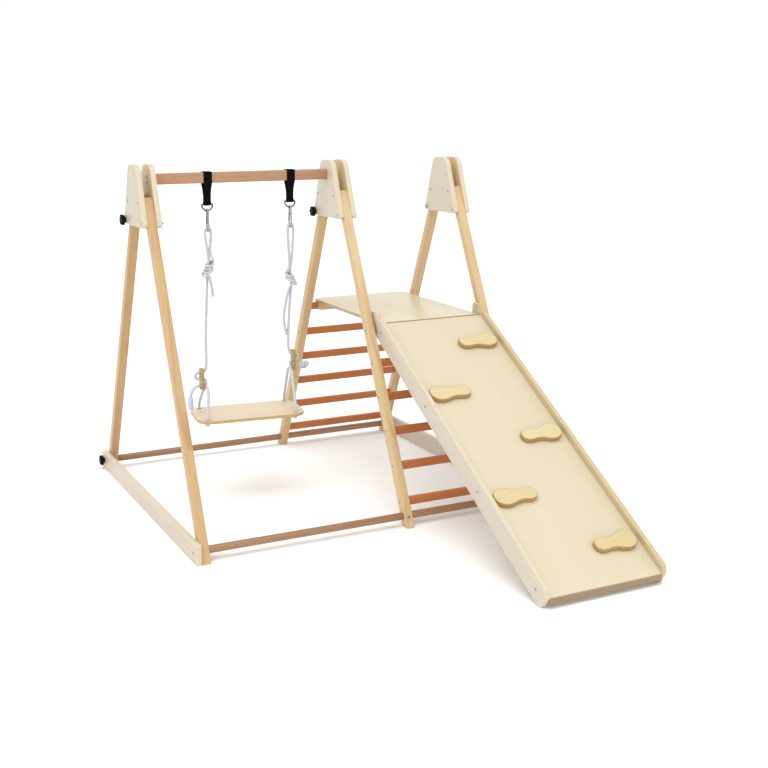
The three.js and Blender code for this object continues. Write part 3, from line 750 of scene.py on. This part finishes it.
for frame_name in FRAME_X:
    make_frame(frame_name)
make_plank("left", -1)
make_plank("right", 1)
crossbar("top_bar", centred(0, BAR_Z, BAR_T, BAR_H, 6), FRAME_X["left"] + GUSSET_OUT + GAP,
         FRAME_X["middle"] - GUSSET_OUT - GAP, BEECH)
for bay, (start, stop) in {"swing": ("left", "middle"), "ladder": ("middle", "right")}.items():
    reach = LEG_T / 2 + GAP
    for end, side in ENDS.items():
        crossbar(f"floor_rod_{bay}_{end}", circle(side * leg_mid(ROD_Z), ROD_Z, ROD_R, 40),
                 FRAME_X[start] + reach, FRAME_X[stop] - reach, ROD_BEECH)
for end, side in ENDS.items():
    for number, z in enumerate(RUNG_ZS, 1):
        crossbar(f"rung_{end}_{number}", centred(side * leg_mid(z), z, RUNG_D, RUNG_H, 6), BAY_LEFT + GAP,
                 BAY_RIGHT - GAP, RED_BEECH)

# ---- platform and ramp ----
TOP_RUNG_Y, TOP_RUNG_TOP = leg_mid(RUNG_ZS[-1]), RUNG_ZS[-1] + RUNG_H / 2
DECK_LOW, DECK_T, DECK_HALF, DECK_INSET, DECK_CORNER = TOP_RUNG_TOP + GAP, 12, 322, 22.5, 32
DECK_HIGH, DECK_LEFT, DECK_RIGHT = DECK_LOW + DECK_T, BAY_LEFT + DECK_INSET, BAY_RIGHT - DECK_INSET
BATTEN_D, BATTEN_H, BATTEN_GAP, BATTEN_INSET, BATTEN_EASE = 24, 28, 2, 4, 1.2
SLOPE, RAMP_TOP_Y, RAMP_END_Y = 0.556, -326, -1436
PANEL_T, PANEL_PLIES, RAIL_T, RAIL_GAP, RAIL_H, RAIL_RISE, RAIL_EASE = 18, 13, 15, 6, 86, 26, 1.8
# FACE_SHARE carries the pale face colour over the top fifth of the panel's ends: a painted highlight along
# the rounded top edge.
FACE_SHARE, PANEL_EASE = 1.25, 0.4
PANEL_GRAIN = Vector((3.1, 5.2, 0.4))
EAR_BACK, EAR_FRONT, EAR_TOP, SHELF_Z, JAW_LOW, JAW_FRONT_LOW, JAW_GAP = -266, -315, 689, 664, 600, 603, 1.5
RAIL_HEEL_Y, RAIL_TOE_Y, RAIL_TOE_Z, RAIL_FOOT = -334, RAMP_END_Y - 2, 34, 20
HOLD_L, HOLD_W, HOLD_T, HOLD_EASE, HOLD_PLIES, HOLD_COUNT = 150, 71, 17, 3.0, 13, 5
HOLD_FIRST, HOLD_STEP, HOLD_SIDE, HOLD_SHIFT, HOLD_RIM_STEP = 158, 243, 112, -4, 3.0
HOLD_OUTLINE = [
    (-1, -0.05), (-0.93, 0.5), (-0.77, 0.85), (-0.55, 1), (-0.3, 0.9), (-0.03, 0.67), (0.25, 0.57),
    (0.52, 0.65), (0.77, 0.63), (0.95, 0.4), (1, 0), (0.95, -0.45), (0.78, -0.73), (0.55, -0.76),
    (0.27, -0.68), (0.03, -0.73), (-0.2, -0.9), (-0.44, -1), (-0.71, -0.9), (-0.91, -0.56),
]


def panel_z(y):
    """Height of the ramp's climbing face at y."""
    return DECK_HIGH + SLOPE * (y - RAMP_TOP_Y)


def rail_top(y):
    return panel_z(y) + RAIL_RISE


def make_platform():
    shape = outline([(DECK_LEFT, -DECK_HALF, 2), (DECK_RIGHT, -DECK_HALF, 2),
                     (DECK_RIGHT, DECK_HALF, DECK_CORNER), (DECK_LEFT, DECK_HALF, DECK_CORNER)], 12)
    mesh = flat_mesh([shape], DECK_T, PLATE_EASE)
    mark_grain(mesh, Y, Z, DECK_T, DECK_PLIES)
    show(place(mesh, X, Y, Z, (0, 0, DECK_LOW)), "platform_board.wood", DECK, "platform",
         ["platform_board"])
    high = DECK_LOW - GAP
    outer = TOP_RUNG_Y - RUNG_D / 2 - BATTEN_GAP
    for end, side in ENDS.items():
        y0, y1 = sorted((side * outer, side * (outer - BATTEN_D)))
        board(f"platform_batten_{end}", [rounded(y0, high - BATTEN_H, y1, high, 2, 4)],
              DECK_LEFT + BATTEN_INSET, DECK_RIGHT - BATTEN_INSET, BATTEN_EASE, PINE, "platform",
              "birch_ply", along=(0, 0, 1))


def rail_outline():
    """Side rail of the ramp with the notch that hangs over the top rung and the ear above the deck."""
    front, back = (-TOP_RUNG_Y + side * (RUNG_D / 2 + JAW_GAP) for side in (-1, 1))
    notch_top = TOP_RUNG_TOP + GAP
    floor_y = RAMP_TOP_Y - (rail_top(RAMP_TOP_Y) - RAIL_H) / SLOPE
    heel_z = rail_top(RAIL_HEEL_Y) - RAIL_H
    shelf_end = RAMP_TOP_Y - (rail_top(RAMP_TOP_Y) - SHELF_Z) / SLOPE
    return outline([
        (back, JAW_LOW, 5), (back, notch_top, 2), (front, notch_top, 2), (front, JAW_FRONT_LOW, 3),
        (RAIL_HEEL_Y, heel_z, 10), (floor_y, 0, 2), (floor_y - RAIL_FOOT, 0, 4),
        (RAIL_TOE_Y, RAIL_TOE_Z, 4), (RAIL_TOE_Y, rail_top(RAIL_TOE_Y), 7),
        (shelf_end, SHELF_Z, 8), (EAR_FRONT, SHELF_Z), (EAR_FRONT, EAR_TOP, 4),
        (EAR_BACK, EAR_TOP, 14), (EAR_BACK, JAW_LOW, 6),
    ])


def panel_outline():
    drop = PANEL_T * math.hypot(1, SLOPE)
    return outline([
        (RAMP_TOP_Y, panel_z(RAMP_TOP_Y), 8), (RAMP_END_Y, panel_z(RAMP_END_Y), 9),
        (RAMP_END_Y, panel_z(RAMP_END_Y) - drop, 1), (RAMP_TOP_Y, panel_z(RAMP_TOP_Y) - drop, 1),
    ], 4)


def make_panel():
    """The climbing board. Its pale face colour runs over the upper fifth of its ends too: a painted highlight
    on the rounded top edge, above the painted shade of the dark edge colours.
    """
    inset = RAIL_GAP + RAIL_T + GAP
    x0, x1 = BAY_LEFT + inset, BAY_RIGHT - inset
    mesh = flat_mesh([panel_outline()], x1 - x0, PANEL_EASE)
    down = Vector((1, SLOPE, 0)).normalized()
    deep = Vector((-SLOPE, 1, 0)).normalized()
    top = Vector((RAMP_TOP_Y, panel_z(RAMP_TOP_Y), 0))
    rows = [v.co - top for v in mesh.vertices]
    grain = [PANEL_GRAIN + Vector((row @ down, row @ Z, row @ deep)) * MM for row in rows]
    attribute(mesh, "grain", grain, "FLOAT_VECTOR")
    depths = [max(row @ deep / PANEL_T + 1, 0) * FACE_SHARE for row in rows]
    attribute(mesh, "ply", [min(depth, 1) * PANEL_PLIES for depth in depths])
    attribute(mesh, "plies", [PANEL_PLIES] * len(rows))
    show(place(mesh, Y, Z, X, (x0, 0, 0)), "ramp_panel.wood", RAMP, "ramp", ["ramp_panel"])


def make_rail(end, x0, finish):
    board(f"ramp_rail_{end}", [rail_outline()], x0, x0 + RAIL_T, RAIL_EASE, finish, "ramp", "birch_ply",
          along=(1, SLOPE, 0), plies=RAIL_PLIES)


def make_hold(index):
    """One hold, screwed on left and right of the middle in turn, as (spot, up the ramp, out of it)."""
    side = 1 if index % 2 == 0 else -1
    corners = [(-side * a * HOLD_L / 2, b * HOLD_W / 2, 0) for a, b in HOLD_OUTLINE]
    line = smooth_line(corners if side < 0 else corners[::-1], HOLD_RIM_STEP, closed=True)
    mesh = flat_mesh([[p.xy for p in line]], HOLD_T, HOLD_EASE)
    mark_grain(mesh, X, Z, HOLD_T, HOLD_PLIES)
    slant = math.atan(SLOPE)
    up = Vector((0, math.cos(slant), math.sin(slant)))
    out = Vector((0, -math.sin(slant), math.cos(slant)))
    x = (BAY_LEFT + BAY_RIGHT) / 2 + HOLD_SHIFT + side * HOLD_SIDE
    spot = Vector((x, RAMP_TOP_Y, panel_z(RAMP_TOP_Y)))
    spot += out * GAP - up * (HOLD_FIRST + HOLD_STEP * index)
    name = f"hold_{index + 1}"
    show(place(mesh, X, up, out, spot), f"{name}.wood", HOLD, "ramp", [name])
    return spot, up, out


make_platform()
make_panel()
make_rail("left", BAY_LEFT + RAIL_GAP, BIRCH)
# The right rail takes the shaded copy of the birch ply: painted shade on its inner face.
make_rail("right", BAY_RIGHT - RAIL_GAP - RAIL_T, BIRCH_PAINTED_SHADE)
HOLDS = [make_hold(i) for i in range(HOLD_COUNT)]

# ---- swing ----
SEAT_L, SEAT_W, SEAT_CORNER, SEAT_HOLE_R = 386, 228, 66, 7.5
TOGGLE_H, TOGGLE_W, TOGGLE_HOLE_R, SWING_EASE = 78, 26, 8.5, 2.2
PIVOT_Z, RING_WIRE, RING_HALF = 1068, 6, 19.5
WEB_T, STRAP_W, STRAP_STEP, STRAP_COLUMNS = 2.2, 30, 1.6, 12
STITCH_OUT, STITCH_LOW, STITCH_HIGH, STITCH_STEP, THREAD_R = 9, 1082, 1099, 3, 0.4
GATE_HALF, GATE_R, GATE_PIN_R, GATE_LOW_Y, GATE_HIGH_Y = 17.2, 2.7, 1.2, 12, 8
WIRE_STEP = 1.2


def make_seat():
    holes = [circle(sx * HOLE_OUT, sy * HOLE_Y, SEAT_HOLE_R) for sx in (-1, 1) for sy in (-1, 1)]
    rim = rounded(-SEAT_L / 2, -SEAT_W / 2, SEAT_L / 2, SEAT_W / 2, SEAT_CORNER, 16)
    mesh = flat_mesh([rim, *holes], SEAT_T, SWING_EASE)
    mark_grain(mesh, X, Z, SEAT_T, SEAT_PLIES)
    ways = (Vector((math.cos(a), math.sin(a), 0)) for a in (SEAT_TURN, SEAT_TURN + math.pi / 2))
    place(mesh, *ways, Z, (SEAT_X, SEAT_Y, SEAT_TOP - SEAT_T))
    show(mesh, "seat.wood", SEAT, "swing", ["seat"])


def make_toggle(name, side):
    z = ROPES[name]["toggle_z"]
    x = SWING_X + side * ROPES[name]["toggle_out"]
    holes = [circle(0, z + row * TOGGLE_STEP, TOGGLE_HOLE_R) for row in (-1, 0, 1)]
    board(f"toggle_{name}", [centred(0, z, TOGGLE_W, TOGGLE_H, 6), *holes], x - TOGGLE_T / 2,
          x + TOGGLE_T / 2, SWING_EASE, HOLD, "swing", "seat_ply", along=(0, 1, 0), plies=TOGGLE_PLIES)


def strap_loop():
    """The webbing's middle line as (y, z): round the ring's wire, up, over the bar and down again."""
    half = WEB_T / 2
    eye = RING_WIRE / 2 + 1 + half
    flank, top = BAR_T / 2 + GAP + half, BAR_Z + BAR_H / 2 + GAP + half
    low = BAR_Z - BAR_H / 2
    one_side = [
        (0, PIVOT_Z - eye), (eye * 0.7, PIVOT_Z - eye * 0.7), (eye, PIVOT_Z), (eye * 0.75, PIVOT_Z + 5),
        (half + 0.15, PIVOT_Z + 11), (half + 0.1, PIVOT_Z + 22), (half + 0.3, PIVOT_Z + 33),
        (5, low - 24), (11, low - 10), (flank, low + 1), (flank, low + 10), (flank, top - 10),
        (flank - 0.2, top - 2.5), (flank - 2.6, top), (flank - 9, top),
    ]
    return one_side + [(-y, z) for y, z in reversed(one_side[1:])]


def make_strap(name, x):
    """One length of webbing, a little narrower below the bar, with ribs and thin edges."""
    path = smooth_line([(0, y, z) for y, z in strap_loop()], STRAP_STEP, closed=True)
    low = BAR_Z - BAR_H / 2
    count, run = len(path), 0.0
    vertices, weave, faces = [], [], []
    for i, here in enumerate(path):
        tangent = (path[(i + 1) % count] - path[i - 1]).normalized()
        out = tangent.cross(X)
        run += (here - path[i - 1]).length if i else 0
        wide = (STRAP_W - 3 * min(max((low - here.z) / 60, 0), 1)) / 2
        for face in (1, -1):
            for k in range(STRAP_COLUMNS + 1):
                share = 2 * k / STRAP_COLUMNS - 1
                thin = 1 - 0.45 * abs(share) ** 8
                rib = 0.12 * math.cos(share * math.pi * 6)
                lift = out * face * ((WEB_T / 2 + rib) * thin - 0.1)
                vertices.append(here + X * wide * share * face + lift)
                weave.append((run * MM, wide * share * MM, 0))
    row = 2 * (STRAP_COLUMNS + 1)
    for i in range(count):
        j = (i + 1) % count
        for k in range(row):
            m = (k + 1) % row
            faces.append((i * row + k, j * row + k, j * row + m, i * row + m))
    mesh = bpy.data.meshes.new("strap")
    mesh.from_pydata([at(x, v.y, v.z) + X * v.x * MM for v in vertices], [], faces)
    attribute(mesh, "weave", weave, "FLOAT_VECTOR")
    show(mesh, f"strap_{name}.webbing", WEBBING, "frame", [f"strap_{name}"])


def make_stitching(name, x):
    """A sewn box with its two diagonals, on both faces of the strap below the bar."""
    box = [(-STITCH_OUT, STITCH_LOW), (STITCH_OUT, STITCH_LOW), (STITCH_OUT, STITCH_HIGH),
           (-STITCH_OUT, STITCH_HIGH)]
    seams = [(box[i], box[(i + 1) % 4]) for i in range(4)] + [(box[0], box[2]), (box[1], box[3])]
    stitches = []
    for (a0, b0), (a1, b1) in seams:
        steps = round(math.hypot(a1 - a0, b1 - b0) / STITCH_STEP)
        for k in range(steps):
            shares = (k + 0.15) / steps, (k + 0.85) / steps
            spots = [(a0 + (a1 - a0) * t, b0 + (b1 - b0) * t) for t in shares]
            for face in (-1, 1):
                ends = [at(x + a, face * (WEB_T + 0.35), b) for a, b in spots]
                stitches.append(sweep(smooth_line(ends, 1 * MM), THREAD_R * MM, 6, caps=2))
    show(joined(stitches), f"strap_{name}.stitching", THREAD, "frame")


def make_ring(name, x):
    corners = [(-RING_HALF, PIVOT_Z, 5), (-19, PIVOT_Z - 13, 8), (0, PIVOT_Z - 27.5, 8),
               (19, PIVOT_Z - 13, 8), (RING_HALF, PIVOT_Z, 5)]
    line = smooth_line([(p.x, 0, p.y) for p in outline(corners, 6)], WIRE_STEP, closed=True)
    mesh = sweep([at(x + p.x, 0, p.z) for p in line], RING_WIRE / 2 * MM, 16, closed=True)
    show(mesh, f"ring_{name}.steel", DARK_STEEL, "swing", [f"ring_{name}"])


def make_snap_hook(name, x):
    r = HOOK_WIRE / 2
    mid = (HOOK_TOP + HOOK_LOW) / 2
    wire = [
        (7.6, mid + 18), (7.6, HOOK_TOP - 10), (5.3, HOOK_TOP - 5), (0, HOOK_TOP - r),
        (-5.3, HOOK_TOP - 5), (-7.6, HOOK_TOP - 10), (-9.5, mid), (-11.5, HOOK_LOW + 13),
        (-10, HOOK_LOW + 6.8), (-4.6, HOOK_LOW + r), (4.6, HOOK_LOW + r), (10, HOOK_LOW + 6.8),
        (11.5, HOOK_LOW + 13), (11.7, mid - 18.5),
    ]
    line = smooth_line([(0, y, z) for y, z in wire], WIRE_STEP)
    body = sweep([at(x, p.y, p.z) for p in line], (r - 0.15) * MM, 16)
    show(body, f"snap_hook_{name}.steel", ZINC, "swing", [f"snap_hook_{name}"])
    low, high = Vector((0, GATE_LOW_Y, mid - GATE_HALF)), Vector((0, GATE_HIGH_Y, mid + GATE_HALF))
    bar = sweep([at(x, *low.lerp(high, k / 12).yz) for k in range(1, 12)], GATE_R * MM, 14)
    pin = sweep([at(x + s, low.y, low.z + 2.2) for s in (-3.3, -1, 1, 3.3)], GATE_PIN_R * MM, 10)
    show(joined([bar, pin]), f"hook_gate_{name}.steel", DARK_STEEL, f"gate_{name}",
         [f"hook_gate_{name}"])


make_seat()
for side_name, side_sign in SIDES.items():
    strap_x = SWING_X + side_sign * STRAP_OUT
    make_toggle(side_name, side_sign)
    make_strap(side_name, strap_x)
    make_stitching(side_name, strap_x)
    make_ring(side_name, strap_x)
    make_snap_hook(side_name, strap_x)

# ---- knobs, screws and bolts ----
KNOB_LOBES, LOBE_DEPTH = 6, 0.14
KNOB_PROFILE = [
    (0.3, 8.5, 0), (0.3, 10, 0), (3.6, 10, 0), (4.3, 11, 0), (4.6, 16, 0.9), (5.2, 18.6, 1), (6.6, 19.8, 1),
    (8.2, 20, 1), (14, 20, 1), (15.8, 19.4, 1), (17.2, 18, 1), (18, 15.6, 0.9), (18.1, 12, 0.5),
    (17.9, 10.2, 0), (16.9, 9.6, 0), (16.6, 8.8, 0), (16.9, 6, 0), (17.2, 0.6, 0),
]
SCREW_PROFILE = [
    (0.05, 3.0, 0), (0.05, 4.6, 0), (0.7, 4.6, 0), (1.3, 4.2, 0), (1.7, 3.4, 0), (1.8, 2.5, 0),
    (1.5, 2.0, 0), (0.7, 1.9, 0), (0.6, 0.3, 0),
]
BOLT_PROFILE = [
    (0.05, 3.6, 0), (0.05, 5.6, 0), (1.2, 5.6, 0), (2.4, 4.9, 0), (2.9, 3.6, 0), (2.9, 2.7, 0),
    (1.0, 2.5, 0), (0.9, 0.3, 0),
]
NUT_PROFILE = [
    (0.05, 5.0, 0), (0.05, 8.0, 0), (1.0, 8.0, 0), (1.2, 6.4, 0), (1.3, 5.6, 0), (4.4, 5.6, 0),
    (5.4, 4.9, 0), (5.6, 3.2, 0), (6.6, 3.1, 0), (8.4, 3.0, 0), (8.9, 2.4, 0), (8.9, 0.3, 0),
]
LOCK_Z, UPPER_Y, UPPER_Z, LOW_Y, LOW_Z = 1016, 72, 1085, 105, 1018
LOCK_Y = leg_mid(LOCK_Z)
BAR_SCREW_Y, BAR_SCREW_STEP, PLANK_SCREW_Y, PLANK_SCREW_Z = -7, 10, -589, 32
RAIL_SCREWS = [(-347, 622), (-691.5, 432), (-1042, 240), (-1383, 46)]
HOLD_SCREW_OUT = 38


def turned(spot, facing, profile, round_sides=24, lobes=0):
    """Turned shape from (distance out, radius, lobe share) rows, standing at spot and facing that way."""
    facing = Vector(facing).normalized()
    first = (Y - facing * facing.y if abs(facing.y) < 0.6 else X).normalized()
    second = facing.cross(first)
    rings = []
    for out, radius, lobed in profile:
        ring = []
        for k in range(round_sides):
            turn = 2 * math.pi * k / round_sides
            r = radius * (1 - lobed * LOBE_DEPTH * (1 - math.cos(lobes * turn)))
            here = Vector(spot) + facing * out + first * (r * math.cos(turn)) + second * (r * math.sin(turn))
            ring.append(at(*here))
        rings.append(ring)
    return lofted(rings)


def make_knob(place_name, frame_name, y, z):
    """A star knob on the outer face of a frame, which is the left face of the left and middle frames."""
    side = 1 if frame_name == "right" else -1
    spot = (FRAME_X[frame_name] + side * GUSSET_OUT, y, z)
    mesh = turned(spot, X * side, KNOB_PROFILE, KNOB_LOBES * 16, KNOB_LOBES)
    name = f"knob_{place_name}_{frame_name}"
    show(mesh, f"{name}.plastic", BLACK, f"{place_name}_knob_{frame_name}", [name])


def hardware(name, body, rows):
    """Screw heads or nuts in one mesh, from (profile, x, y, z, side or way it faces) rows."""
    parts = [turned((x, y, z), way if isinstance(way, Vector) else X * way, profile)
             for profile, x, y, z, way in rows]
    show(joined(parts), name, ZINC, body)


def gusset_rows(name):
    """Screws and nuts on the outer faces of a frame's two gussets, with a nut opposite its knob."""
    knob_side = 1 if name == "right" else -1
    rows = []
    for side, low_profile in ((-1, SCREW_PROFILE), (1, NUT_PROFILE)):
        face = FRAME_X[name] + side * GUSSET_OUT
        rows += [(SCREW_PROFILE, face, y, UPPER_Z, side) for y in (-UPPER_Y, UPPER_Y)]
        rows.append((low_profile, face, -LOW_Y, LOW_Z, side))
        if side != knob_side:
            rows.append((NUT_PROFILE, face, LOCK_Y, LOCK_Z, side))
    return rows


def facing_pair(x0, x1, y, z):
    """Two screw heads at one place of the plan, facing left at x0 and right at x1."""
    return [(SCREW_PROFILE, x0, y, z, -1), (SCREW_PROFILE, x1, y, z, 1)]


def rung_rows():
    """A screw at each end of each rung, on the far side of the leg."""
    x0, x1 = BAY_LEFT - LEG_T, BAY_RIGHT + LEG_T
    rows = []
    for sign in ENDS.values():
        for z in RUNG_ZS:
            rows += facing_pair(x0, x1, sign * leg_mid(z), z)
    return rows


def hold_rows():
    rows = []
    for spot, up, out in HOLDS:
        for reach in (-HOLD_SCREW_OUT, HOLD_SCREW_OUT):
            rows.append((SCREW_PROFILE, *(spot + X * reach - out * (GAP + PANEL_T)), -out))
    return rows


for frame_name in FRAME_X:
    make_knob("top", frame_name, LOCK_Y, LOCK_Z)
for frame_name in ("left", "right"):
    make_knob("foot", frame_name, leg_mid(ROD_Z), ROD_Z)
for frame_name in FRAME_X:
    hardware(f"gusset_screws_{frame_name}", "frame", gusset_rows(frame_name))
hardware("bar_screws", "frame", [
    (SCREW_PROFILE, x, BAR_SCREW_Y, BAR_Z + 1 + up * BAR_SCREW_STEP, way)
    for x, way in ((FRAME_X["left"] + GUSSET_IN, -1), (FRAME_X["middle"] - GUSSET_IN, 1)) for up in (-1, 1)
])
hardware("plank_screws", "frame", facing_pair(FRAME_X["left"] - GUSSET_OUT, FRAME_X["right"] + GUSSET_OUT,
                                              PLANK_SCREW_Y, PLANK_SCREW_Z))
hardware("rod_bolt_middle", "frame", [
    (BOLT_PROFILE, FRAME_X["middle"], -leg_y(ROD_Z), ROD_Z, Vector((0, -1, LEAN))),
])
hardware("rung_screws", "frame", rung_rows())
hardware("rail_screws", "ramp", [
    row for y, z in RAIL_SCREWS for row in facing_pair(BAY_LEFT + RAIL_GAP, BAY_RIGHT - RAIL_GAP, y, z)
])
hardware("hold_screws", "ramp", hold_rows())

# ---- stage ----
FLOOR_REACH, FLOOR_DROP, FLOOR_TONE = 60, 0.0004, 0.98
KEY_FROM, KEY_POWER, KEY_ANGLE = (-0.25, -0.3, 0.92), 1.8, math.radians(60)
SKY_LOW, SKY_HIGH, SKY_SIDE_POWER, SKY_TOP_POWER = 0.2, 0.8, 1.02, 0.75


def make_floor():
    mesh = bpy.data.meshes.new("floor")
    r = FLOOR_REACH
    mesh.from_pydata([(-r, -r, 0), (r, -r, 0), (r, r, 0), (-r, r, 0)], [], [(0, 1, 2, 3)])
    floor = bpy.data.objects.new("floor", mesh)
    floor.location.z = -FLOOR_DROP
    t = Tree("pale_floor", 0.9, specular=0.1)
    t.colour((FLOOR_TONE, FLOOR_TONE, FLOOR_TONE, 1))
    mesh.materials.append(t.material)
    link(floor)


def make_sky():
    """White all round, a little weaker overhead, where the key light adds its share."""
    world = bpy.data.worlds.new("studio")
    world.use_nodes = True
    tree = world.node_tree
    direction, split = tree.nodes.new("ShaderNodeTexCoord"), tree.nodes.new("ShaderNodeSeparateXYZ")
    fall = tree.nodes.new("ShaderNodeMapRange")
    fall.interpolation_type = "SMOOTHSTEP"
    for socket, value in zip(fall.inputs[1:5], (SKY_LOW, SKY_HIGH, SKY_SIDE_POWER, SKY_TOP_POWER)):
        socket.default_value = value
    background = tree.nodes["Background"]
    background.inputs["Color"].default_value = (1, 1, 1, 1)
    tree.links.new(direction.outputs["Generated"], split.inputs[0])
    tree.links.new(split.outputs["Z"], fall.inputs[0])
    tree.links.new(fall.outputs[0], background.inputs["Strength"])
    bpy.context.scene.world = world
    bpy.context.scene.view_settings.view_transform = "Standard"


def make_key():
    data = bpy.data.lights.new("key", "SUN")
    data.energy = KEY_POWER
    data.angle = KEY_ANGLE
    lamp = bpy.data.objects.new("key", data)
    lamp.rotation_euler = Vector(KEY_FROM).to_track_quat("Z", "Y").to_euler()
    link(lamp)


make_floor()
make_sky()
make_key()
